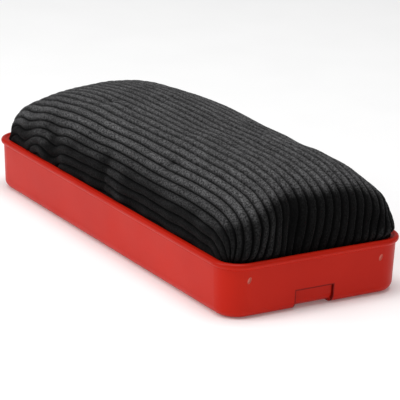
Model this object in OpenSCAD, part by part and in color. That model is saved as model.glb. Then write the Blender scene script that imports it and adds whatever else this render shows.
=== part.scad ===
// Chalkboard eraser: a moulded plastic tray holds a corduroy-covered foam pad,
// and an elastic hand strap lies in a channel along the tray's back.
// The eraser lies on its back, with the wiping face up. All sizes are in millimetres.
// Origin: centre of the back. +X along the length, +Y across, +Z towards the wiping face.

/* [Tray] */
// Length over the end walls, at the rim
tray_length = 144; // [130:1:160]
// Width over the side walls, at the rim
tray_width = 60; // [54:1:70]
// Height from the back to the top of the rim bead
tray_height = 16.6; // [16:0.1:20]
// Thickness of the walls
wall = 1.5; // [1.2:0.1:1.8]
// Thickness of the floor
floor_thickness = 1.6; // [1.2:0.1:1.9]
// Radius of the upright corners, at the rim
corner_radius = 7.6; // [6:0.1:10]
// Radius of the rounded edge round the back
edge_fillet = 2.8; // [2:0.1:3.5]
// How far each wall leans in from the rim down to the back
draft = 0.7; // [0.4:0.1:1]
// Radius of the bead round the rim
bead_radius = 0.9; // [0.6:0.1:1.1]

/* [Strap channel] */
// Width of the channel along the back
channel_width = 12.6; // [12.4:0.1:14]
// Depth of the channel between the slots
channel_depth = 1; // [0.9:0.1:1.1]
// Depth of the channel from each slot to the end, and up the end wall
recess_depth = 0.6; // [0.4:0.1:0.8]
// Height that the channel climbs up each end wall
channel_rise = 5.9; // [4:0.1:7]
// Distance that the channel and the claws sit off centre, towards -Y
off_centre = 0.6; // [0:0.1:1]
// Distance of each strap slot from the end of the tray
slot_from_end = 18; // [16:1:22]
// Length of each strap slot, along the tray
slot_length = 2; // [1.6:0.1:2.4]

/* [Strap] */
// Width of the elastic strap
strap_width = 12; // [10:0.1:12.2]
// Thickness of the elastic strap
strap_thickness = 0.8; // [0.6:0.1:0.8]
// Length of the flat plate in each strap loop
plate_length = 5; // [4:0.1:6]
// Thickness of the flat plate in each strap loop
plate_thickness = 0.9; // [0.8:0.1:1]
// Stitches in each row through a strap end
stitches_per_row = 5; // [3:1:7]

/* [Pad] */
// Height of the wiping face above the rim
pad_height = 22.1; // [15:0.1:26]
// Thickness of the corduroy
cloth_thickness = 1.8; // [1:0.1:2]
// Width of the cloth turned under the backing board
hem_width = 12; // [9:0.5:14]
// Thickness of the backing board
board_thickness = 3; // [2.5:0.1:3.2]
// Distance over which the near end rounds down to the rim
near_round = 26; // [20:1:32]
// Distance over which the far end rounds down to the rim
far_round = 46; // [40:1:60]

/* [Staples] */
// Width of a staple's crown
staple_crown = 10; // [8:0.5:12]
// Diameter of the staple wire
staple_wire = 0.6; // [0.5:0.1:0.7]
// Length of a staple's legs, above the cloth's underside
staple_legs = 3.2; // [2.6:0.1:3.8]

/* [Hidden] */
$fn = 48;
eps = 0.01;

red = "#c8322a";
red_dark = "#b02a24";
charcoal = "#2b2b2d";
foam_yellow = "#d8c98a";
board_brown = "#8a6238";
steel = "#b4b6ba";

// Heights through the tray, from the back upwards
channel_floor = floor_thickness + channel_depth;
rib_top = 5.2;
board_z = rib_top + cloth_thickness;
foam_z = board_z + board_thickness;
rim_z = tray_height - 0.4;
pad_base_z = tray_height - bead_radius;

// Pad: half sizes at the rim, corner radius, and the powers that shape its section
fit_gap = 0.3;
pad_half_length = tray_length / 2 - wall - fit_gap;
pad_half_width = tray_width / 2 - wall - fit_gap;
pad_corner = 7.5;
skirt_taper = 0.5;
section_power = 3;
section_root = 2.5;
near_power = 1.7;
near_root = 8;
far_power = 1.35;
far_root = 4.5;
stations = 18;
columns = 20;
layer_gap = 0.05;

// Ribs, claws and the strap loops
rib = 1.2;
rail_y = 12;
cross_rib_x = [-52, -26, 0, 26, 52];
claw_y = 22;
claw_height = 0.9;
claw_radius = 1.5;
claw_z = foam_z + claw_radius;
mark_depth = 0.3;
mark_length = 2;
mark_width = 1;
mark_tilt = -20;
slot_x = tray_length / 2 - slot_from_end;
strap_recess = 0.15;
loop_z = channel_floor + layer_gap;
loop_start = slot_x - slot_length / 2 - strap_thickness;
tail_length = 7;
thread = 0.4;

// ---- Tray -------------------------------------------------------------------

// Half section of a block with a leaning side and a rounded lower edge
module block_section(radius, height, lean, fillet) {
    angle = atan(lean / height);
    centre_x = radius - lean + lean * fillet / height - fillet / cos(angle);
    tangent = [centre_x + fillet * cos(angle), fillet * (1 - sin(angle))];
    polygon([[0, 0], [centre_x, 0], tangent, [radius, height], [0, height]]);
    intersection() {
        translate([centre_x, fillet]) circle(fillet);
        polygon([[centre_x, 0], [radius, 0], [radius, tangent[1]], tangent]);
    }
}

// Carries a half section round a rectangle with round corners
module round_frame(length, width, radius) {
    straight_x = length - 2 * radius;
    straight_y = width - 2 * radius;
    for (flip_x = [0, 1], flip_y = [0, 1])
        mirror([flip_x, 0, 0]) mirror([0, flip_y, 0])
            translate([straight_x / 2, straight_y / 2, 0])
                rotate_extrude(angle = 90) children();
    for (flip = [0, 1]) {
        mirror([0, flip, 0])
            translate([-straight_x / 2, straight_y / 2, 0])
                rotate([90, 0, 90]) linear_extrude(straight_x) children();
        mirror([flip, 0, 0])
            translate([straight_x / 2, straight_y / 2, 0])
                rotate([90, 0, 0]) linear_extrude(straight_y) children();
    }
}

// A solid block with round corners, leaning walls and a rounded lower edge
module drafted_block(length, width, height, radius, lean, fillet) {
    round_frame(length, width, radius)
        block_section(radius, height, lean, fillet);
    translate([radius - length / 2, radius - width / 2, 0])
        cube([length - 2 * radius, width - 2 * radius, height]);
}

// The tray's outer shape, drawn in by a distance at the walls and the back
module tray_block(walls, back, height) {
    translate([0, 0, back])
        drafted_block(tray_length - 2 * walls, tray_width - 2 * walls, height - back,
                      corner_radius - walls, draft, edge_fillet - walls);
}

// A band along the channel's line, up to a height
module middle_band(length, width, height) {
    translate([-length / 2, -width / 2 - off_centre, -1])
        cube([length, width, height + 1]);
}

module rim_bead() {
    round_frame(tray_length, tray_width, corner_radius)
        translate([corner_radius - 0.1, tray_height - bead_radius]) circle(bead_radius);
}

// The hollow, with a thicker floor and thicker ends behind the strap channel
module tray_hollow() {
    difference() {
        tray_block(wall, floor_thickness, tray_height + 1);
        middle_band(2 * tray_length, channel_width + 2 * wall, channel_rise + wall);
    }
    translate([0, 0, channel_floor])
        drafted_block(tray_length - 2 * (wall + recess_depth), tray_width - 2 * wall,
                      tray_height, corner_radius - wall, draft, edge_fillet - wall);
}

module strap_channel() {
    middle_band(2 * slot_x, channel_width, channel_depth);
    difference() {
        middle_band(2 * tray_length, channel_width, channel_rise);
        translate([0, 0, recess_depth])
            drafted_block(tray_length - 2 * recess_depth, tray_width, tray_height,
                          corner_radius, draft, edge_fillet);
    }
}

module strap_slots() {
    for (side = [-1, 1])
        translate([side * slot_x, 0, 0])
            middle_band(slot_length, channel_width, channel_floor + 1);
}

// Ribs that carry the pad, clear of the strap loops in the middle
module ribs() {
    for (side = [-1, 1])
        translate([-cross_rib_x[4], side * rail_y - rib / 2, floor_thickness - eps])
            cube([2 * cross_rib_x[4], rib, rib_top - floor_thickness]);
    for (x = cross_rib_x, side = [-1, 1])
        translate([x - rib / 2, side > 0 ? rail_y : -tray_width / 2 + wall, floor_thickness - eps])
            cube([rib, tray_width / 2 - wall - rail_y, rib_top - floor_thickness]);
}

// Places a shape at the four punched claws, pointing out through the end walls
module at_claws(x) {
    for (end = [0, 1], side = [-1, 1])
        mirror([end, 0, 0])
            translate([x, side * claw_y - off_centre, claw_z]) rotate([0, 90, 0]) children();
}

// A pointed oval, cut into the outside of the wall by each punch
module punch_mark() {
    reach = (mark_length * mark_length / mark_width - mark_width) / 4;
    rotate([0, 0, mark_tilt])
        intersection_for(side = [-1, 1])
            translate([0, side * reach, 0]) cylinder(mark_depth + 1, r = reach + mark_width / 2);
}

module tray() {
    color(red) {
        difference() {
            union() {
                difference() {
                    tray_block(0, 0, rim_z);
                    tray_hollow();
                }
                rim_bead();
                intersection() {
                    tray_block(wall / 2, floor_thickness / 2, rim_z);
                    union() {
                        ribs();
                        at_claws(tray_length / 2 - wall - draft / 2 - claw_height)
                            cylinder(claw_height + 0.6, claw_radius / 3, claw_radius);
                    }
                }
            }
            strap_channel();
            strap_slots();
            at_claws(tray_length / 2 - draft / 3 - mark_depth) punch_mark();
        }
    }
}

// ---- Pad --------------------------------------------------------------------

// Share of the full height at a distance from an end that rounds off over a reach
function end_rise(distance, reach, power, root) =
    distance >= reach ? 1 : pow(1 - pow(1 - max(0, distance) / reach, power), 1 / root);

// Height of the crown above the rim at a place along the pad
function crown(x) =
    pad_height
    * end_rise(pad_half_length - x, near_round, near_power, near_root)
    * end_rise(pad_half_length + x, far_round, far_power, far_root);

// Half width of the pad at a place along it, with round corners
function half_width(x) =
    let (past = max(0, abs(x) - (pad_half_length - pad_corner)))
    pad_half_width - pad_corner + sqrt(max(0, pow(pad_corner, 2) - pow(past, 2)));

// Steps from 0 to 1 that crowd towards 0
function crowd(step, count) = pow(step / count, 1.9);

function pad_stations() = concat(
    [for (i = [0:stations]) -pad_half_length * (1 - crowd(i, stations))],
    [for (i = [stations - 1:-1:0]) pad_half_length * (1 - crowd(i, stations))]);

function pad_columns() = concat(
    [for (j = [0:columns / 2]) -1 + crowd(j, columns / 2)],
    [for (j = [columns / 2 - 1:-1:0]) 1 - crowd(j, columns / 2)]);

// A closed form of the whole pad, drawn in by an inset, from a bottom height up
module pad_form(inset, bottom_z) {
    xs = pad_stations();
    ss = pad_columns();
    nx = len(xs);
    ny = len(ss);
    scale_x = (pad_half_length - inset) / pad_half_length;
    scale_y = (pad_half_width - inset) / pad_half_width;
    scale_z = (pad_height - inset) / pad_height;
    taper = skirt_taper * (pad_base_z - bottom_z) / pad_base_z;
    foot_x = scale_x - taper / pad_half_length;
    foot_y = scale_y - taper / pad_half_width;
    top = [for (x = xs, s = ss)
        [x * scale_x, s * half_width(x) * scale_y,
         pad_base_z + scale_z * crown(x)
         * pow(max(0, 1 - pow(abs(s), section_power)), 1 / section_root)]];
    foot = [for (x = xs, s = ss) [x * foot_x, s * half_width(x) * foot_y, bottom_z]];
    // The outline, anticlockwise seen from above
    edge = concat(
        [for (i = [0:nx - 2]) i * ny],
        [for (j = [0:ny - 2]) (nx - 1) * ny + j],
        [for (i = [nx - 1:-1:1]) i * ny + ny - 1],
        [for (j = [ny - 1:-1:1]) j]);
    turns = len(edge);
    foot_edge = [for (e = edge) foot[e]];
    base = nx * ny;
    middle = base + turns;
    upper = [for (i = [0:nx - 2], j = [0:ny - 2])
        let (a = i * ny + j) for (t = [[a, a + 1, a + ny + 1], [a, a + ny + 1, a + ny]]) t];
    skirt = [for (e = [0:turns - 1])
        let (next = (e + 1) % turns)
        for (t = [[edge[e], edge[next], base + next], [edge[e], base + next, base + e]]) t];
    under = [for (e = [0:turns - 1]) [middle, base + e, base + (e + 1) % turns]];
    polyhedron(concat(top, foot_edge, [[0, 0, bottom_z]]), concat(upper, skirt, under));
}

module backing_board() {
    board_inset = cloth_thickness + 2 * layer_gap + skirt_taper;
    color(board_brown)
        translate([0, 0, board_z])
            linear_extrude(board_thickness)
                rounded_rectangle(2 * (pad_half_length - board_inset),
                                  2 * (pad_half_width - board_inset), pad_corner - board_inset);
}

// A rectangle with round corners, of exact arcs
module rounded_rectangle(length, width, radius) {
    square([length - 2 * radius, width], center = true);
    square([length, width - 2 * radius], center = true);
    for (side_x = [-1, 1], side_y = [-1, 1])
        translate([side_x * (length / 2 - radius), side_y * (width / 2 - radius)])
            circle(radius);
}

module foam_pad() {
    color(foam_yellow) pad_form(cloth_thickness + layer_gap, foam_z);
}

module corduroy_cover() {
    color(charcoal)
        difference() {
            pad_form(0, rib_top);
            pad_form(cloth_thickness, board_z);
            translate([hem_width - pad_half_length, hem_width - pad_half_width, rib_top - 1])
                cube([2 * (pad_half_length - hem_width), 2 * (pad_half_width - hem_width),
                      cloth_thickness + 2]);
            at_claws(pad_half_length - claw_height - 0.4)
                cylinder(3, r = claw_radius);
            staple_places() staple_holes();
        }
}

// ---- Staples ----------------------------------------------------------------

// Places a staple along the hem on all four sides, with its crown along X
module staple_places() {
    side_y = pad_half_width - hem_width / 2;
    end_x = pad_half_length - hem_width / 2;
    for (x = [-39, -13, 13, 39], side = [-1, 1])
        translate([x, side * side_y, rib_top]) children();
    for (end = [-1, 1])
        translate([end * end_x, 0, rib_top]) rotate([0, 0, 90]) children();
}

module staple() {
    for (side = [-1, 1])
        translate([side * (staple_crown - staple_wire) / 2, 0, -staple_wire])
            cylinder(staple_legs + staple_wire, d = staple_wire);
    translate([-staple_crown / 2, 0, -staple_wire / 2]) rotate([0, 90, 0])
        cylinder(staple_crown, d = staple_wire);
}

// Clearance for a staple's legs through the cloth and into the board
module staple_holes() {
    for (side = [-1, 1])
        translate([side * (staple_crown - staple_wire) / 2, 0, -1])
            cylinder(staple_legs + 1.05, d = staple_wire + 0.1);
}

module cover_staples() {
    color(steel) staple_places() staple();
}

// ---- Strap ------------------------------------------------------------------

// Side view of the +X half of the strap: along the channel, up through the slot,
// round the plate and back over itself
module strap_outline() {
    t = strap_thickness;
    outer = t + plate_thickness / 2 + layer_gap;
    inner = plate_thickness / 2 + layer_gap;
    leg_x = slot_x - t / 2;
    turn_x = leg_x - tail_length - plate_length;
    // Along the back
    translate([0, strap_recess]) square([leg_x + t, t]);
    // Up through the slot
    translate([leg_x, strap_recess]) square([t, loop_z + t - strap_recess]);
    // Over the floor, towards the middle of the tray
    translate([turn_x, loop_z]) square([leg_x + t - turn_x, t]);
    // Round the plate
    translate([turn_x, loop_z + outer]) difference() {
        circle(outer);
        circle(inner);
        translate([0, -2 * outer]) square(4 * outer);
    }
    // Back over the plate, down onto itself, and the sewn tail
    translate([turn_x, loop_z + outer + inner]) square([plate_length, t]);
    slope_x = turn_x + plate_length;
    high = loop_z + outer + inner;
    low = loop_z + t + layer_gap;
    polygon([[slope_x, high], [slope_x, high + t], [slope_x + 2, low + t], [slope_x + 2, low]]);
    translate([slope_x + 2, low]) square([tail_length - 3, t]);
}

module hand_strap() {
    color(red_dark)
        for (end = [0, 1])
            mirror([end, 0, 0])
                translate([0, strap_width / 2 - off_centre, 0]) rotate([90, 0, 0])
                    linear_extrude(strap_width) strap_outline();
}

// The plate inside the strap loop, wider than the slot so that it can't pull through
module strap_plate(end) {
    turn_x = slot_x - strap_thickness / 2 - tail_length - plate_length;
    plate_width = channel_width + 4;
    color(steel)
        mirror([end, 0, 0])
            translate([turn_x + plate_length / 2 - 0.4, -off_centre,
                       loop_z + strap_thickness + layer_gap])
                linear_extrude(plate_thickness)
                    rounded_rectangle(plate_length - 1, plate_width, 1);
}

module front_strap_plate() {
    strap_plate(0);
}

module rear_strap_plate() {
    strap_plate(1);
}

// Two rows of short stitches, lying on the sewn tail
module strap_stitching(end) {
    top_z = loop_z + 2 * strap_thickness + layer_gap;
    row_x = slot_x - strap_thickness / 2 - tail_length + 3;
    pitch = (strap_width - 2) / stitches_per_row;
    color("white")
        mirror([end, 0, 0])
            for (row = [0, 1], i = [0:stitches_per_row - 1])
                translate([row_x + row * 2,
                           (i - (stitches_per_row - 1) / 2) * pitch - off_centre,
                           top_z + thread / 2])
                    rotate([90, 0, 0])
                        cylinder(pitch * 0.7, d = thread, center = true);
}

module front_strap_stitching() {
    strap_stitching(0);
}

module rear_strap_stitching() {
    strap_stitching(1);
}

tray();
backing_board();
foam_pad();
corduroy_cover();
cover_staples();
hand_strap();
front_strap_plate();
rear_strap_plate();
front_strap_stitching();
rear_strap_stitching();
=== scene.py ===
"""Chalkboard eraser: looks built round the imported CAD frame.

The tray and the inner pieces are the CAD solids with better materials. The corduroy cover is a
sheet of cloth that a small cloth solver draws over the foam. It gets its folds and ribs afterwards.
"""
import math

import bpy
import numpy as np
from mathutils import Matrix, Vector
from mathutils.bvhtree import BVHTree


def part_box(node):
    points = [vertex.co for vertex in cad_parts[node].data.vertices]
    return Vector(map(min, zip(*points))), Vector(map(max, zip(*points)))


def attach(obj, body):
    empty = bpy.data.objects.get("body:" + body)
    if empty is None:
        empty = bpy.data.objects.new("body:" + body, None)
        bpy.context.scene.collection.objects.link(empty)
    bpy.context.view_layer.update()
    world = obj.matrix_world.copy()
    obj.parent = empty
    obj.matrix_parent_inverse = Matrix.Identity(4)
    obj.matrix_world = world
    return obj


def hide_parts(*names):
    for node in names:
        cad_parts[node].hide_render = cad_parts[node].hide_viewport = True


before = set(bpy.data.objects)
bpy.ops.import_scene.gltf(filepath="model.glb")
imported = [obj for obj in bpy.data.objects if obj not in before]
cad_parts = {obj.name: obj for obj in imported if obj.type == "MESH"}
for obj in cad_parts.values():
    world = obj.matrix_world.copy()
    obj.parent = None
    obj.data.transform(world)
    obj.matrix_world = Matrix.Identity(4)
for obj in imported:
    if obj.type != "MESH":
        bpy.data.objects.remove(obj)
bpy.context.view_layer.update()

MM = 0.001
ROOT = "root"
rng = np.random.default_rng(7)


# ---- Camera, lights and stage ----------------------------------------------------------------

VIEW_AZIMUTH = math.radians(58.78)
VIEW_ELEVATION = math.radians(17.80)
VIEW_ROLL = math.radians(1.63)
VIEW_DISTANCE = 0.72066
VIEW_TARGET = Vector((-0.87, 4.72, 9.93)) * MM
SENSOR = 36.0
LENS = 211.65
CLIP_START = 0.01

LAMP_DISTANCE = 0.9
WORLD_STRENGTH = 0.3
FLOOR_HALF = 3.0
FLOOR_DROP = 0.05 * MM


def view_axes(azimuth, elevation, roll=0.0):
    """Right, up and back of a camera. Azimuth 0 looks along +Y."""
    back = Vector((math.sin(azimuth) * math.cos(elevation),
                   -math.cos(azimuth) * math.cos(elevation),
                   math.sin(elevation)))
    level = Vector((math.cos(azimuth), math.sin(azimuth), 0.0))
    upright = back.cross(level)
    right = math.cos(roll) * level + math.sin(roll) * upright
    up = math.cos(roll) * upright - math.sin(roll) * level
    return right, up, back


def add_camera():
    right, up, back = view_axes(VIEW_AZIMUTH, VIEW_ELEVATION, VIEW_ROLL)
    data = bpy.data.cameras.new("camera")
    data.sensor_width = SENSOR
    data.lens = LENS
    data.clip_start = CLIP_START
    camera = bpy.data.objects.new("camera", data)
    bpy.context.collection.objects.link(camera)
    turn = Matrix((right, up, back)).transposed().to_4x4()
    camera.matrix_world = Matrix.Translation(VIEW_TARGET + back * VIEW_DISTANCE) @ turn
    bpy.context.scene.camera = camera


def add_area_light(name, azimuth, elevation, size, power):
    """A square white lamp that faces the origin. The angles are in degrees."""
    right, up, back = view_axes(math.radians(azimuth), math.radians(elevation))
    data = bpy.data.lights.new(name, "AREA")
    data.size = size
    data.energy = power
    lamp = bpy.data.objects.new(name, data)
    bpy.context.collection.objects.link(lamp)
    turn = Matrix((right, up, back)).transposed().to_4x4()
    lamp.matrix_world = Matrix.Translation(back * LAMP_DISTANCE) @ turn


def add_world():
    """Even white light from all round."""
    world = bpy.data.worlds.new("studio")
    world.use_nodes = True
    background = world.node_tree.nodes["Background"]
    background.inputs["Color"].default_value = (1, 1, 1, 1)
    background.inputs["Strength"].default_value = WORLD_STRENGTH
    bpy.context.scene.world = world


def add_floor():
    """A wide pale sheet, just below the object's back."""
    mesh = bpy.data.meshes.new("floor")
    half = FLOOR_HALF
    corners = [(-half, -half, 0), (half, -half, 0), (half, half, 0), (-half, half, 0)]
    mesh.from_pydata(corners, [], [(0, 1, 2, 3)])
    floor = bpy.data.objects.new("floor", mesh)
    floor.location.z = -FLOOR_DROP
    bpy.context.collection.objects.link(floor)
    mesh.materials.append(floor_material())


# ---- Materials --------------------------------------------------------------------------------

class Nodes:
    """Short calls to build a node material. An input takes a value or another node's output."""

    def __init__(self, name):
        self.material = bpy.data.materials.new(name)
        self.material.use_nodes = True
        self.tree = self.material.node_tree
        self.shader = self.tree.nodes["Principled BSDF"]
        self.coordinates = self.tree.nodes.new("ShaderNodeTexCoord").outputs["Object"]

    def feed(self, node, socket, value):
        """Links an input to another node's output, or sets it to a value."""
        if isinstance(value, bpy.types.NodeSocket):
            self.tree.links.new(value, node.inputs[socket])
        else:
            node.inputs[socket].default_value = value

    def put(self, node, **values):
        """Feeds inputs by their names, with _ for a space."""
        for socket, value in values.items():
            self.feed(node, socket.replace("_", " "), value)
        return node

    def noise(self, scale, detail=2.0, vector=None):
        node = self.tree.nodes.new("ShaderNodeTexNoise")
        self.put(node, Vector=vector or self.coordinates, Scale=scale, Detail=detail)
        return node.outputs["Fac"]

    def cells(self, scale):
        """Distance to the nearest of many scattered points."""
        node = self.tree.nodes.new("ShaderNodeTexVoronoi")
        return self.put(node, Vector=self.coordinates, Scale=scale).outputs["Distance"]

    def stretched(self, factors):
        """The coordinates, each times its own factor. A low one draws a pattern out."""
        node = self.tree.nodes.new("ShaderNodeMapping")
        return self.put(node, Vector=self.coordinates, Scale=factors).outputs["Vector"]

    def ramp(self, fac, stops):
        """stops is a list of (place, grey or colour)."""
        node = self.tree.nodes.new("ShaderNodeValToRGB")
        self.put(node, Fac=fac)
        elements = node.color_ramp.elements
        while len(elements) < len(stops):
            elements.new(0.5)
        for element, (place, colour) in zip(elements, stops):
            element.position = place
            grey = isinstance(colour, (int, float))
            element.color = (colour,) * 3 + (1,) if grey else (*colour, 1)
        return node.outputs["Color"]

    def calc(self, operation, a, b=0.0):
        node = self.tree.nodes.new("ShaderNodeMath")
        node.operation = operation
        self.feed(node, 0, a)
        self.feed(node, 1, b)
        return node.outputs[0]

    def waves(self, place, pitch):
        """Round ridges across a coordinate, one to each pitch, from 0 to 1."""
        turned = self.calc("MULTIPLY", place, math.pi / pitch)
        return self.calc("ABSOLUTE", self.calc("SINE", turned))

    def mix(self, fac, a, b, blend="MIX"):
        node = self.tree.nodes.new("ShaderNodeMix")
        node.data_type = "RGBA"
        node.blend_type = blend
        self.feed(node, 0, fac)
        # Inputs 6 and 7 are the two colours
        for place, colour in ((6, a), (7, b)):
            self.feed(node, place, (*colour, 1) if isinstance(colour, tuple) else colour)
        return node.outputs[2]

    def split(self):
        """The three coordinates, in metres."""
        node = self.tree.nodes.new("ShaderNodeSeparateXYZ")
        self.put(node, Vector=self.coordinates)
        return node.outputs[0], node.outputs[1], node.outputs[2]

    def attribute(self, name):
        node = self.tree.nodes.new("ShaderNodeAttribute")
        node.attribute_name = name
        return node.outputs["Fac"]

    def bump(self, height, strength, distance):
        node = self.tree.nodes.new("ShaderNodeBump")
        self.put(node, Height=height, Strength=strength, Distance=distance)
        self.put(self.shader, Normal=node.outputs["Normal"])

    def finish(self, **values):
        """Sets the shader's inputs and gives back the material."""
        self.put(self.shader, **values)
        return self.material


def floor_material():
    m = Nodes("floor_paper")
    shade = m.ramp(m.noise(40), [(0.3, 0.93), (0.7, 0.95)])
    return m.finish(Base_Color=shade, Roughness=0.9, Emission_Color=(1, 1, 1, 1),
                    Emission_Strength=0.1)


RED = (0.60, 0.015, 0.003)
RED_DEEP = (0.54, 0.011, 0.002)
# Painted shade: darkens the top of the rim bead and the corners along the strap's recess
RED_PAINTED_SHADE = (0.20, 0.004, 0.002)
STRESS_PINK = (0.75, 0.22, 0.17)

# The strap's recess and the punch marks sit this far off the middle, along Y
OFF_CENTRE = -0.6 * MM
RECESS_HALF = 6.3 * MM
RECESS_TOP = 5.9 * MM
RECESS_SHADE_WIDTH = 0.45 * MM
RECESS_FROM_X = 70.0 * MM
MARK_Y, MARK_Z = 22.0 * MM, 11.5 * MM
MARK_HALF_LENGTH, MARK_HALF_WIDTH = 1.1 * MM, 0.6 * MM
MARK_TILT = math.radians(-20)
MARK_FROM_X = 70.6 * MM
# The places in the ramp of the rim's painted shade are shares of this height
RIM_SCALE = 17 * MM


def mark_mask(m):
    """1 on the stress-whitened ovals at the punch marks in the end walls, 0 elsewhere."""
    x, y, z = m.split()
    cosine, sine = math.cos(MARK_TILT), math.sin(MARK_TILT)

    def squared_share(a, b, half):
        share = m.calc("DIVIDE", m.calc("ABSOLUTE", m.calc("ADD", a, b)), half)
        return m.calc("POWER", share, 2)

    masks = []
    for side in (-1, 1):
        off_y = m.calc("SUBTRACT", y, side * MARK_Y + OFF_CENTRE)
        off_z = m.calc("SUBTRACT", z, MARK_Z)
        along = squared_share(m.calc("MULTIPLY", off_z, cosine),
                              m.calc("MULTIPLY", off_y, -sine), MARK_HALF_LENGTH)
        across = squared_share(m.calc("MULTIPLY", off_y, cosine),
                               m.calc("MULTIPLY", off_z, sine), MARK_HALF_WIDTH)
        masks.append(m.ramp(m.calc("ADD", along, across), [(0.55, 1.0), (1.0, 0.0)]))
    at_end = m.calc("GREATER_THAN", m.calc("ABSOLUTE", x), MARK_FROM_X)
    return m.calc("MULTIPLY", at_end, m.calc("MAXIMUM", *masks))


def recess_shade_mask(m):
    """Painted shade: 1 in the corners along the edges of the strap's recess in the end walls, 0
    elsewhere.
    """
    x, y, z = m.split()
    off_y = m.calc("ABSOLUTE", m.calc("SUBTRACT", y, OFF_CENTRE))
    beyond = m.calc("MAXIMUM", m.calc("SUBTRACT", off_y, RECESS_HALF),
                    m.calc("SUBTRACT", z, RECESS_TOP))
    share = m.calc("DIVIDE", m.calc("ABSOLUTE", beyond), RECESS_SHADE_WIDTH)
    at_end = m.calc("GREATER_THAN", m.calc("ABSOLUTE", x), RECESS_FROM_X)
    return m.calc("MULTIPLY", at_end, m.ramp(share, [(0.3, 1.0), (1.0, 0.0)]))


def rim_shade_mask(m):
    """Painted shade: rises from 0 to a faint shade over the upper part of the rim bead."""
    _, _, z = m.split()
    return m.ramp(m.calc("DIVIDE", z, RIM_SCALE), [(0.90, 0.0), (0.96, 0.35)])


def plastic_material():
    """Red moulded plastic: satin, with faint flow marks, a fine grain, whitened punch marks and
    painted shade.
    """
    m = Nodes("red_plastic")
    colour = m.mix(m.ramp(m.noise(35, 3), [(0.35, 0.0), (0.7, 1.0)]), RED_DEEP, RED)
    # Painted shade on the top of the rim bead and in the corners along the strap's recess
    colour = m.mix(m.calc("MAXIMUM", rim_shade_mask(m), recess_shade_mask(m)), colour, RED_PAINTED_SHADE)
    colour = m.mix(mark_mask(m), colour, STRESS_PINK)
    roughness = m.ramp(m.noise(90, 4), [(0.3, 0.30), (0.75, 0.42)])
    m.bump(m.noise(2600, 2), 0.12, 0.0002)
    return m.finish(Base_Color=colour, Roughness=roughness, Specular_IOR_Level=0.13)


# Painted light on the cloth: the pile with no painted sheen, the pile under full painted sheen, and
# the painted shade in grooves and dents
PILE_UNLIT = (0.001, 0.001, 0.0011)
PILE_LIT = (0.158, 0.157, 0.16)
GROOVE_SHADE_COLOUR = (0.0015, 0.0015, 0.0016)


def corduroy_material():
    """Black plush: specks of nap, painted sheen where it faces up, and painted shade in grooves and
    dents.
    """
    m = Nodes("corduroy")
    nap = m.ramp(m.noise(2000, 3), [(0.36, 0.15), (0.50, 0.55), (0.64, 1.0)])
    # Painted sheen and light from above: the pile gets lighter where the cloth faces up, and on
    # bulges
    lit_pile = m.mix(m.attribute("painted_sheen"), PILE_UNLIT, PILE_LIT)
    worn = m.ramp(m.noise(110, 3), [(0.3, 0.72), (0.7, 1.0)])
    pile = m.mix(1.0, m.mix(1.0, lit_pile, nap, "MULTIPLY"), worn, "MULTIPLY")
    # Painted shade in the grooves between the ribs and in the dents
    colour = m.mix(m.attribute("groove_shade"), pile, GROOVE_SHADE_COLOUR)
    m.bump(m.noise(2400, 4), 0.9, 0.0004)
    return m.finish(Base_Color=colour, Roughness=0.95, Specular_IOR_Level=0.1, Sheen_Weight=0.05,
                    Sheen_Roughness=0.3, Sheen_Tint=(0.9, 0.9, 0.92, 1))


def foam_material():
    """Open-cell foam: round pores of two sizes with painted shade in them, slightly yellowed."""
    m = Nodes("foam")
    pores = m.calc("MULTIPLY", m.cells(1100), m.cells(420))
    aged = m.ramp(m.noise(50, 3), [(0.3, 0.0), (0.7, 1.0)])
    tone = m.mix(aged, (0.60, 0.46, 0.20), (0.72, 0.62, 0.36))
    # The pores are darkened: painted shade inside them
    colour = m.mix(m.ramp(pores, [(0.0, 1.0), (0.22, 0.0)]), tone, (0.30, 0.20, 0.07))
    m.bump(m.ramp(pores, [(0.0, 0.0), (0.3, 1.0)]), 0.8, 0.0004)
    return m.finish(Base_Color=colour, Roughness=0.95, Specular_IOR_Level=0.2)


def hardboard_material():
    """Pressed fibre: short pale and dark fibres on brown, lying both ways."""
    m = Nodes("hardboard")
    lengthwise = m.noise(260, 8, m.stretched((1.0, 4.0, 4.0)))
    crosswise = m.noise(260, 8, m.stretched((4.0, 1.0, 4.0)))
    fibres = m.calc("MAXIMUM", lengthwise, crosswise)
    colour = m.ramp(fibres, [(0.40, (0.11, 0.05, 0.02)), (0.58, (0.24, 0.12, 0.05)),
                             (0.75, (0.42, 0.25, 0.12))])
    m.bump(fibres, 0.5, 0.0003)
    return m.finish(Base_Color=colour, Roughness=0.75)


def steel_material():
    """Drawn steel with fine scratches along the length, a little tarnished."""
    m = Nodes("steel")
    scratches = m.noise(900, 3, m.stretched((0.05, 1.0, 1.0)))
    tarnish = m.ramp(m.noise(150, 4), [(0.4, 0.0), (0.75, 1.0)])
    colour = m.mix(tarnish, (0.58, 0.59, 0.61), (0.38, 0.36, 0.33))
    m.bump(scratches, 0.15, 0.0001)
    roughness = m.ramp(scratches, [(0.3, 0.25), (0.7, 0.42)])
    return m.finish(Base_Color=colour, Roughness=roughness, Metallic=1.0)


ELASTIC_RIB, ELASTIC_PICK = 1.0 * MM, 0.5 * MM
THREAD_TWIST = 0.3 * MM


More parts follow.
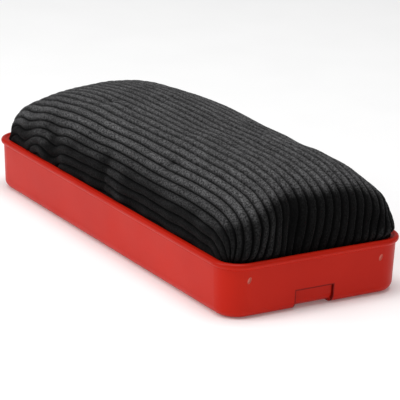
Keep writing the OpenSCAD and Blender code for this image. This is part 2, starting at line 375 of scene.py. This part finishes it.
def elastic_material():
    """Woven elastic: ribs along the strap and fine picks across it, with painted shade in the low
    parts.
    """
    m = Nodes("elastic")
    x, y, _ = m.split()
    picks = m.calc("ADD", m.calc("MULTIPLY", m.waves(x, ELASTIC_PICK), 0.5), 0.5)
    weave = m.calc("MULTIPLY", m.waves(y, ELASTIC_RIB), picks)
    fuzz = m.ramp(m.noise(1800, 4), [(0.3, 0.7), (0.7, 1.0)])
    # Darker where the weave is low: painted shade between the ribs and picks
    raised = m.ramp(weave, [(0.1, 0.0), (0.8, 1.0)])
    cloth = m.mix(raised, (0.10, 0.004, 0.004), (0.40, 0.020, 0.018))
    m.bump(weave, 0.7, 0.0003)
    return m.finish(Base_Color=m.mix(1.0, cloth, fuzz, "MULTIPLY"), Roughness=0.85,
                    Specular_IOR_Level=0.2, Sheen_Weight=0.15, Sheen_Roughness=0.4)


def thread_material():
    """Twisted cotton thread, with its strands slanting across it and painted shade between them."""
    m = Nodes("thread")
    x, y, z = m.split()
    slant = m.calc("ADD", m.calc("MULTIPLY", y, 2.0), m.calc("ADD", x, z))
    twist = m.waves(slant, THREAD_TWIST)
    # Darker between the strands: painted shade in the twist's grooves
    colour = m.mix(twist, (0.42, 0.39, 0.35), (0.80, 0.77, 0.72))
    m.bump(twist, 0.6, 0.0001)
    return m.finish(Base_Color=colour, Roughness=0.85)


def paint(node, material):
    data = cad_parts[node].data
    data.materials.clear()
    data.materials.append(material)


# ---- Corduroy cover: the foam's shape --------------------------------------------------------

# All lengths in the three sections on the cover are in millimetres
tray_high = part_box("tray")[1]
cover_low, cover_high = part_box("corduroy_cover")
RIM_Z = tray_high.z / MM - 0.4
PAD_BASE_Z = RIM_Z - 0.5
PAD_HALF_X = cover_high.x / MM - 0.3
PAD_HALF_Y = cover_high.y / MM - 0.1
PAD_CORNER = 5.0
CROWN = 21.7
NEAR_REACH, NEAR_POWER, NEAR_ROOT = 26.0, 1.7, 8.0
FAR_REACH, FAR_POWER, FAR_ROOT = 46.0, 1.35, 4.5
SECTION_POWER, SECTION_ROOT = 3.0, 2.5
# Steps for the slopes, the furthest push out of the foam, and the slack at the pad's sides
PLAN_STEP, LEVEL_STEP = 1e-3, 0.02
FURTHEST_PUSH = 1.5
SIDE_SLACK = 0.25


def end_rise(distance, reach, power, root):
    inner = np.clip(1 - distance / reach, 0, 1)
    return np.maximum(1 - inner ** power, 1e-9) ** (1 / root)


def crown_height(x):
    rise = end_rise(PAD_HALF_X - x, NEAR_REACH, NEAR_POWER, NEAR_ROOT)
    fall = end_rise(PAD_HALF_X + x, FAR_REACH, FAR_POWER, FAR_ROOT)
    return CROWN * rise * fall


def plan_distance(x, y, corner):
    """Distance outside the pad's outline with round corners, negative inside."""
    over_x = np.abs(x) - (PAD_HALF_X - corner)
    over_y = np.abs(y) - (PAD_HALF_Y - corner)
    outside = np.hypot(np.maximum(over_x, 0), np.maximum(over_y, 0))
    return outside + np.minimum(np.maximum(over_x, over_y), 0) - corner


def plan_slope(x, y, corner):
    """The distance outside the outline, and how fast it grows along X and along Y."""
    far = plan_distance(x, y, corner)
    slope_x = (plan_distance(x + PLAN_STEP, y, corner) - far) / PLAN_STEP
    slope_y = (plan_distance(x, y + PLAN_STEP, corner) - far) / PLAN_STEP
    return far, slope_x, slope_y


def plan_push(points, limit, corner, outward):
    """Moves points in plan, in place, to at least, or at most, a limit outside the outline."""
    far, slope_x, slope_y = plan_slope(points[:, 0], points[:, 1], corner)
    move = np.maximum(limit - far, 0) if outward else -np.maximum(far - limit, 0)
    points[:, 0] += move * slope_x
    points[:, 1] += move * slope_y


def foam_level(points):
    """Below 0 inside the foam's dome, above the rim."""
    x, y, z = points.T
    past = np.clip(np.abs(x) - (PAD_HALF_X - PAD_CORNER), 0, PAD_CORNER)
    half_y = PAD_HALF_Y - PAD_CORNER + np.sqrt(PAD_CORNER ** 2 - past ** 2)
    height = np.maximum(crown_height(np.clip(x, -PAD_HALF_X, PAD_HALF_X)), 0.5)
    across = (np.abs(y) / half_y) ** SECTION_POWER
    up = (np.maximum(z - PAD_BASE_Z, 0) / height) ** SECTION_ROOT
    beyond = np.maximum(np.abs(x) - PAD_HALF_X, 0)
    return across + up - 1 + beyond


def push_out_of_foam(points):
    """Moves points out of the dome, in place, and keeps those below the rim by the pad's sides."""
    above = points[:, 2] > PAD_BASE_Z
    inside = np.flatnonzero(above & (foam_level(points) < 0))
    if len(inside):
        some = points[inside]
        level = foam_level(some)
        slope = np.empty_like(some)
        for axis in range(3):
            moved = some.copy()
            moved[:, axis] += LEVEL_STEP
            slope[:, axis] = (foam_level(moved) - level) / LEVEL_STEP
        size = np.maximum((slope ** 2).sum(1), 1e-6)
        move = -(level / size)[:, None] * slope
        length = np.linalg.norm(move, axis=1)
        move *= np.minimum(1, FURTHEST_PUSH / np.maximum(length, 1e-9))[:, None]
        points[inside] = some + move
    below = np.flatnonzero(~above)
    some = points[below]
    plan_push(some, 0.0, PAD_CORNER, True)
    plan_push(some, SIDE_SLACK, PAD_CORNER + 1, False)
    points[below] = some


# ---- Corduroy cover: the cloth solver --------------------------------------------------------

# The sheet is a grid: u runs along the ribs and v across them
PITCH = 2.7
COARSE_U = 8.0
COARSE_V = 2 * PITCH
HALF_U = 13 * COARSE_U
HALF_V = 11 * COARSE_V
# How the sheet lies at first: clear of the foam, fanned out at its corners, a little uneven
START_GAP = 0.6
START_FLARE = 0.35
START_JITTER = 0.05
# Stiffness of the springs against bending and shear, and the share of it that also pushes
BEND_U, BEND_V = 0.10, 0.06
SHEAR, SHEAR_PUSH = 0.12, 0.5
# Cloth within these distances of a corner may gather, and its hem is pulled down harder
GATHER_U, GATHER_V = 8.0, 4.0
CORNER_PULL = 2.0
HEM_BAND = 4.0
SPEED_KEPT = 0.7
WEIGHT = 0.1
# Steps, passes over the springs in each, and pull on the hem. Each round after the first has
# twice as many points along u and along v.
ROUNDS = [(400, 6, 0.05), (120, 8, 0.02), (60, 8, 0.02)]


def spring_batches(shape, step_u, step_v, corner):
    """Groups of springs that share no point: (first, second, rest length, stiffness, push)."""
    index = np.arange(shape[0] * shape[1]).reshape(shape)
    place_u, place_v = np.indices(shape)
    corner = corner.ravel()
    batches = []

    def add(first, second, rest, stiffness, push, turn):
        for part in range(2):
            pick = turn == part
            a, b = first[pick], second[pick]
            batches.append((a, b, rest, stiffness, np.where(corner[a] & corner[b], 0.0, push)))

    diagonal = math.hypot(step_u, step_v)
    add(index[:-2], index[2:], 2 * step_u, BEND_U, 1.0, place_u[:-2] // 2 % 2)
    add(index[:, :-2], index[:, 2:], 2 * step_v, BEND_V, 1.0, place_v[:, :-2] // 2 % 2)
    add(index[:-1, :-1], index[1:, 1:], diagonal, SHEAR, SHEAR_PUSH, place_u[:-1, :-1] % 2)
    add(index[1:, :-1], index[:-1, 1:], diagonal, SHEAR, SHEAR_PUSH, place_u[:-1, :-1] % 2)
    add(index[:-1], index[1:], step_u, 1.0, 1.0, place_u[:-1] % 2)
    add(index[:, :-1], index[:, 1:], step_v, 1.0, 1.0, place_v[:, :-1] % 2)
    return batches


def flat_sheet(line_u, line_v):
    """The sheet folded down over the edges of the foam, to start with."""
    grid_u, grid_v = np.meshgrid(line_u, line_v, indexing="ij")
    over_u = np.maximum(np.abs(grid_u) - PAD_HALF_X - START_GAP, 0)
    over_v = np.maximum(np.abs(grid_v) - PAD_HALF_Y - START_GAP, 0)
    flare = START_FLARE * np.minimum(over_u, over_v)
    return np.stack([
        np.sign(grid_u) * (np.minimum(np.abs(grid_u), PAD_HALF_X + START_GAP) + flare),
        np.sign(grid_v) * (np.minimum(np.abs(grid_v), PAD_HALF_Y + START_GAP) + flare),
        PAD_BASE_Z + CROWN + 1 - np.maximum(over_u, over_v)], axis=-1)


def relax(grid, line_u, line_v, steps, passes, pull):
    """Lets the sheet settle over the foam while its hem is pulled down."""
    grid_u, grid_v = np.meshgrid(line_u, line_v, indexing="ij")
    corner = (np.abs(grid_u) > PAD_HALF_X - GATHER_U) & (np.abs(grid_v) > PAD_HALF_Y - GATHER_V)
    hem = ((np.abs(grid_u) > HALF_U - HEM_BAND) | (np.abs(grid_v) > HALF_V - HEM_BAND)).ravel()
    corner_hem = hem & corner.ravel()
    batches = spring_batches(grid.shape[:2], line_u[1] - line_u[0], line_v[1] - line_v[0], corner)
    points = grid.reshape(-1, 3).copy()
    before = points.copy()
    for _ in range(steps):
        speed = SPEED_KEPT * (points - before)
        before = points.copy()
        points += speed
        points[:, 2] -= WEIGHT * pull
        points[hem, 2] -= pull
        points[corner_hem, 2] -= CORNER_PULL * pull
        for _ in range(passes):
            for a, b, rest, stiffness, push in batches:
                line = points[b] - points[a]
                length = np.maximum(np.sqrt(np.einsum("ij,ij->i", line, line)), 1e-6)
                error = length - rest
                error = np.where(error < 0, error * push, error)
                move = (0.5 * stiffness * error / length)[:, None] * line
                points[a] += move
                points[b] -= move
        push_out_of_foam(points)
    return points.reshape(grid.shape)


def refine(grid, factor, axis):
    """Puts factor times as many points along one axis, on smooth curves through the old ones."""
    grid = np.moveaxis(grid, axis, 0)
    padded = np.concatenate([2 * grid[:1] - grid[1:2], grid, 2 * grid[-1:] - grid[-2:-1]])
    p0, p1, p2, p3 = padded[:-3], padded[1:-2], padded[2:-1], padded[3:]
    rows = []
    for part in range(factor):
        t = part / factor
        rows.append(0.5 * (2 * p1 + (p2 - p0) * t + (2 * p0 - 5 * p1 + 4 * p2 - p3) * t ** 2
                           + (3 * p1 - p0 - 3 * p2 + p3) * t ** 3))
    fine = np.stack(rows, 1).reshape(-1, *grid.shape[1:])
    return np.moveaxis(np.concatenate([fine, grid[-1:]]), 0, axis)


def drape():
    """Drapes a coarse sheet, then finer ones. Returns its points and its flat lines along v."""
    line_u = np.arange(-HALF_U, HALF_U + 1, COARSE_U)
    line_v = np.arange(-HALF_V, HALF_V + 1, COARSE_V)
    grid = flat_sheet(line_u, line_v)
    grid += rng.normal(0, START_JITTER, grid.shape)
    for turn, (steps, passes, pull) in enumerate(ROUNDS):
        if turn > 0:
            line_u, line_v = refine(line_u, 2, 0), refine(line_v, 2, 0)
            grid = refine(refine(grid, 2, 0), 2, 1)
        grid = relax(grid, line_u, line_v, steps, passes, pull)
    return grid, line_v


# ---- Corduroy cover: folds, ribs and hem -----------------------------------------------------

SMOOTH_ROUNDS = 6
FINE_U, FINE_V = 2, 4
WALE_HEIGHT = 1.0
# The share of a rib's height that lies below the draped sheet
WALE_SUNK = 0.6
WALE_POWER = 2.2
NAP_HEIGHT = 0.02
FOAM_GAP = 0.3
# How far the folds may stand out from the pad's outline
OVERHANG = 1.4
# Room for the cloth outside the pad's outline, at the hem, at the rim and clear above it
HEM_Z = cover_low.z / MM + 0.3
WALL_HEIGHTS = (HEM_Z, RIM_Z + 0.4, RIM_Z + 2.4)
WALL_ROOM = (-0.15, 0.35, 2.0)
WALL_CORNER = 6.3
HEM_TURN = 9.0
HEM_RIB = 0.25

# Lumps and dents in the cloth: centre, radii, and height along the normal
LUMPS = [
    # Slanting pinch at the far end of the long side, and fainter ones along its middle
    ((-42, -26, 25), (2.2, 6, 3.5), -0.8), ((-37, -27, 22), (2, 6, 3.5), -1.0),
    ((-33, -28, 18), (2, 6, 3.5), -1.0), ((-45, -27, 20), (5, 6, 4), 0.9),
    ((-29, -27, 21), (3, 6, 4), 0.5),
    ((-3, -27, 20), (1.6, 6, 4.5), -1.0), ((3, -27, 21), (3.4, 6, 3), 0.45),
    ((15, -28, 17), (3, 6, 2.2), -0.8), ((7, -28, 18), (3, 6, 2), 0.6),
    # Fold beside the near left corner, and the full corner next to it
    ((70, -8, 25), (6, 2.8, 7), -1.8), ((68, -17, 24), (6, 5, 7), 1.2),
    ((70, -26, 33), (5, 5, 4), -1.2),
    # Bunch over the rim at the near right corner
    ((70, 22, 18), (6, 4, 1.7), 1.0), ((70, 20, 22), (6, 4, 2), -0.9),
    ((69, 28, 26), (5, 4, 5), 1.5), ((69, 27, 30), (5, 4, 2.5), 0.6),
    ((63, 25, 35), (6, 5, 4), 0.5),
    # The far left corner, pulled in low down
    ((-70, -28, 18), (3, 3, 3.5), -1.3), ((-64, -27, 23), (5, 4, 4), 0.3),
    # Uneven stuffing under the wiping face
    ((-6, 18, 36), (14, 8, 8), 0.8), ((22, 20, 35), (6, 7, 6), 0.5),
    ((42, 20, 35), (5, 7, 6), 0.6), ((56, 20, 34), (6, 7, 6), 0.4),
    ((-29, -12, 37), (2.2, 2, 3), -0.7), ((-55, 10, 33), (11, 13, 8), 0.9),
    # A snag
    ((26.6, -22, 33), (0.7, 0.7, 1.2), -1.0),
    # The sides that are turned away
    ((-30, 27, 22), (2.4, 6, 5), -1.1), ((24, 27, 20), (2, 6, 5), -1.0),
    ((-71, 10, 20), (6, 3, 5), -0.6),
]

# The cloth is taut above this height, and gets looser from there down to the rim
TAUT_Z = 29.0
# Ripples in the surface: wavelength, height, and the height to add where the cloth is loose
BROAD_WAVE, BROAD_LIFT = 22, 0.18
FINE_WAVE, FINE_LIFT, FINE_LIFT_LOOSE = 8, 0.05, 0.2
# Ripples in the ribs' lines: wavelength and shift, the last one only where the cloth is loose
LONG_WAVE, LONG_SHIFT = 30, 0.16
SHORT_WAVE, SHORT_SHIFT = 11, 0.07
LOOSE_WAVE, LOOSE_SHIFT = 14, 0.4
# Arches in the ribs round a point on the rim, where the cloth is gathered. They fade out upwards.
RING_X, RING_Z = -46.0, 16.0
RING_WIDTH, RING_STRETCH = 12.0, 1.25
RING_SHIFT = 0.65
RING_END, RING_FADE = 34, 12
# Bow of the ribs towards -Y down the near end, which sets in from BOW_X on
BOW_SHIFT, BOW_POWER = 2.0, 1.6
BOW_X, BOW_BLEND = 60, 8

# The nap gets painted sheen and light where the cloth faces this way: from none at the first share
# to all at the second, and at least a little on faces across X and Y
SHEEN_FACING = np.array([-0.26, -0.12, 1.0])
SHEEN_START, SHEEN_END = 0.28, 0.88
SHEEN_SIDES = np.array([0.055, 0.05, 0.0])
# Painted highlight on each millimetre of a bulge, and painted shade in each millimetre of a dent
BULGE_SHEEN = 0.2
DENT_SHADE = 0.6
# How wide the painted shade in the grooves is, and how much wider on faces across X with no painted
# sheen
GROOVE_WIDTH, GROOVE_WIDER = 1.5, 2.8


def grid_normals(grid):
    normal = np.cross(np.gradient(grid, axis=0), np.gradient(grid, axis=1))
    return normal / np.maximum(np.linalg.norm(normal, axis=-1, keepdims=True), 1e-9)


def smooth(grid, rounds):
    """Evens out the small knobs that the solver leaves, with the sheet's edges held."""
    grid = grid.copy()
    for _ in range(rounds):
        around = grid[:-2, 1:-1] + grid[2:, 1:-1] + grid[1:-1, :-2] + grid[1:-1, 2:]
        grid[1:-1, 1:-1] = 0.5 * grid[1:-1, 1:-1] + 0.125 * around
    return grid


def looseness(z):
    """From 0 where the cloth is taut to 1 at the rim."""
    return np.clip((TAUT_Z - z) / (TAUT_Z - RIM_Z), 0, 1)


def lump_heights(points):
    height = np.zeros(points.shape[:-1])
    for centre, radii, lift in LUMPS:
        reach = (((points - centre) / radii) ** 2).sum(-1)
        height += lift * np.exp(-0.5 * reach)
    return height


def ripple(points, wavelength, count=12):
    """Smooth noise of about -1 to 1: a sum of waves in random directions."""
    total = np.zeros(points.shape[:-1])
    for _ in range(count):
        wave = rng.normal(0, 1, 3)
        wave *= 2 * math.pi / wavelength / np.linalg.norm(wave)
        total += np.cos(points @ wave + rng.uniform(0, 2 * math.pi))
    return total / math.sqrt(count)


def wale_shift(points):
    """How far the ribs are pushed across the surface from their straight lines."""
    x, y, z = np.moveaxis(points, -1, 0)
    loose = looseness(z)
    shift = LONG_SHIFT * ripple(points, LONG_WAVE) + SHORT_SHIFT * ripple(points, SHORT_WAVE)
    shift += LOOSE_SHIFT * loose * ripple(points, LOOSE_WAVE)
    rise = np.maximum(z - RING_Z, 0)
    ring = np.hypot((x - RING_X) / RING_STRETCH, rise) - rise
    fade = np.clip((RING_END - z) / RING_FADE, 0, 1)
    window = np.exp(-((x - RING_X) / RING_WIDTH) ** 4) * (y < 0) * fade
    shift += RING_SHIFT * window * ring
    shift += BOW_SHIFT * loose ** BOW_POWER * np.clip((x - BOW_X) / BOW_BLEND, 0, 1)
    return shift


def wale_profile(v):
    """Round ribs with narrow grooves between them, from 0 to 1."""
    phase = np.abs((v / PITCH) % 1 - 0.5) * 2
    return np.sqrt(np.maximum(1 - phase ** WALE_POWER, 0))


def slide_wales(grid, line_v):
    """Slides the grid across the surface, so that its lines follow the shifted ribs."""
    shifted = line_v[None, :] + wale_shift(grid)
    middle = len(line_v) // 2
    upper = np.maximum.accumulate(shifted[:, middle:], axis=1)
    lower = np.minimum.accumulate(shifted[:, middle::-1], axis=1)[:, ::-1]
    shifted = np.concatenate([lower[:, :-1], upper], axis=1)
    slid = np.empty_like(grid)
    for row, place in enumerate(shifted):
        for axis in range(3):
            slid[row, :, axis] = np.interp(line_v, place, grid[row, :, axis])
    return slid


def keep_clear(points, node, gap):
    """Moves points that are inside a CAD node, or nearer to it than a gap, out of it."""
    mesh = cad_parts[node].data
    tree = BVHTree.FromPolygons([v.co.copy() for v in mesh.vertices],
                                [tuple(p.vertices) for p in mesh.polygons])
    flat = points.reshape(-1, 3)
    for index, point in enumerate(flat):
        place = Vector(point) * MM
        hit, normal, _, _ = tree.find_nearest(place)
        depth = (place - hit).dot(normal)
        if depth < gap * MM:
            flat[index] += np.array(normal) * (gap - depth / MM)


def turn_hem(points, profile):
    """Turns the cloth that hangs below the board's underside inwards, in place, a millimetre at
    a time, with mitred corners. Returns which points are on the hem's cut edge."""
    drop = np.clip(HEM_Z - points[..., 2], 0, HEM_TURN)
    below = drop > 0
    x, y = points[below][:, 0], points[below][:, 1]
    for done in range(math.ceil(HEM_TURN)):
        move = np.clip(drop[below] - done, 0, 1)
        _, slope_x, slope_y = plan_slope(x, y, PAD_CORNER)
        x, y = x - move * slope_x, y - move * slope_y
    points[below] = np.stack([x, y, HEM_Z - HEM_RIB * profile[below]], -1)
    return drop >= HEM_TURN


def nap_masks(points, normal, profile):
    """What the material reads at each point: the nap's painted sheen, and painted shade in grooves
    and dents.
    """
    up = np.clip((normal @ SHEEN_FACING - SHEEN_START) / (SHEEN_END - SHEEN_START), 0, 1)
    lumps = lump_heights(points)
    painted_sheen = np.maximum(up * up * (3 - 2 * up), np.abs(normal) @ SHEEN_SIDES)
    painted_sheen = np.clip(painted_sheen + BULGE_SHEEN * np.maximum(lumps, 0), 0, 1)
    width = GROOVE_WIDTH + GROOVE_WIDER * (1 - up) * np.abs(normal[..., 0])
    groove_shade = np.maximum(width * (1 - profile), DENT_SHADE * -lumps)
    return {"groove_shade": np.clip(groove_shade, 0, 1), "painted_sheen": painted_sheen}


def build_cover():
    """Returns the finished grid, which of its points are on the cut edge, and the masks of painted
    light.
    """
    grid, line_v = drape()
    fine = refine(refine(smooth(grid, SMOOTH_ROUNDS), FINE_U, 0), FINE_V, 1)
    fine_v = refine(line_v, FINE_V, 0)
    lift = lump_heights(fine) + BROAD_LIFT * ripple(fine, BROAD_WAVE)
    fine_lift = FINE_LIFT + FINE_LIFT_LOOSE * looseness(fine[..., 2])
    lift += fine_lift * ripple(fine, FINE_WAVE)
    fine = slide_wales(fine + grid_normals(fine) * lift[..., None], fine_v)
    plan_push(fine.reshape(-1, 3), OVERHANG, PAD_CORNER, False)
    normal = grid_normals(fine)
    profile = np.broadcast_to(wale_profile(fine_v), fine.shape[:2])
    nap = NAP_HEIGHT * rng.normal(0, 1, profile.shape)
    fine = fine + normal * (WALE_HEIGHT * (profile - WALE_SUNK) + nap)[..., None]
    # The tray's walls hold the cloth in below the rim, and let it bulge above
    room = np.interp(fine[..., 2].ravel(), WALL_HEIGHTS, WALL_ROOM)
    plan_push(fine.reshape(-1, 3), room, WALL_CORNER, False)
    keep_clear(fine, "foam_pad", FOAM_GAP)
    cut = turn_hem(fine, profile)
    return fine, cut, nap_masks(fine, normal, profile)


def grid_mesh(name, grid, cut, masks):
    """A mesh of the grid's cells inside the cut edge, with a float attribute for each mask."""
    count_u, count_v = grid.shape[:2]
    index = np.arange(count_u * count_v).reshape(count_u, count_v)
    quads = np.stack([index[:-1, :-1], index[1:, :-1], index[1:, 1:], index[:-1, 1:]], -1)
    quads = quads.reshape(-1, 4)
    quads = quads[~cut.reshape(-1)[quads].all(1)]
    used, inverse = np.unique(quads, return_inverse=True)
    points = grid.reshape(-1, 3)[used] * MM
    mesh = bpy.data.meshes.new(name)
    mesh.from_pydata(points.tolist(), [], inverse.reshape(-1, 4).tolist())
    mesh.shade_smooth()
    for mask, values in masks.items():
        data = mesh.attributes.new(mask, "FLOAT", "POINT").data
        data.foreach_set("value", values.ravel()[used])
    piece = bpy.data.objects.new(name, mesh)
    bpy.context.collection.objects.link(piece)
    return piece


# ---- Build ------------------------------------------------------------------------------------

bpy.context.scene.view_settings.view_transform = "Standard"
add_camera()
add_world()
add_floor()
add_area_light("key", -10, 40, size=0.5, power=2.85)
add_area_light("top", 60, 85, size=0.6, power=5)

paint("tray", plastic_material())
cover = grid_mesh("corduroy", *build_cover())
cover.data.materials.append(corduroy_material())
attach(cover, ROOT)
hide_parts("corduroy_cover")
paint("foam_pad", foam_material())
paint("backing_board", hardboard_material())
steel = steel_material()
for name in ("cover_staples", "front_strap_plate", "rear_strap_plate"):
    paint(name, steel)
paint("hand_strap", elastic_material())
thread = thread_material()
for name in ("front_strap_stitching", "rear_strap_stitching"):
    paint(name, thread)
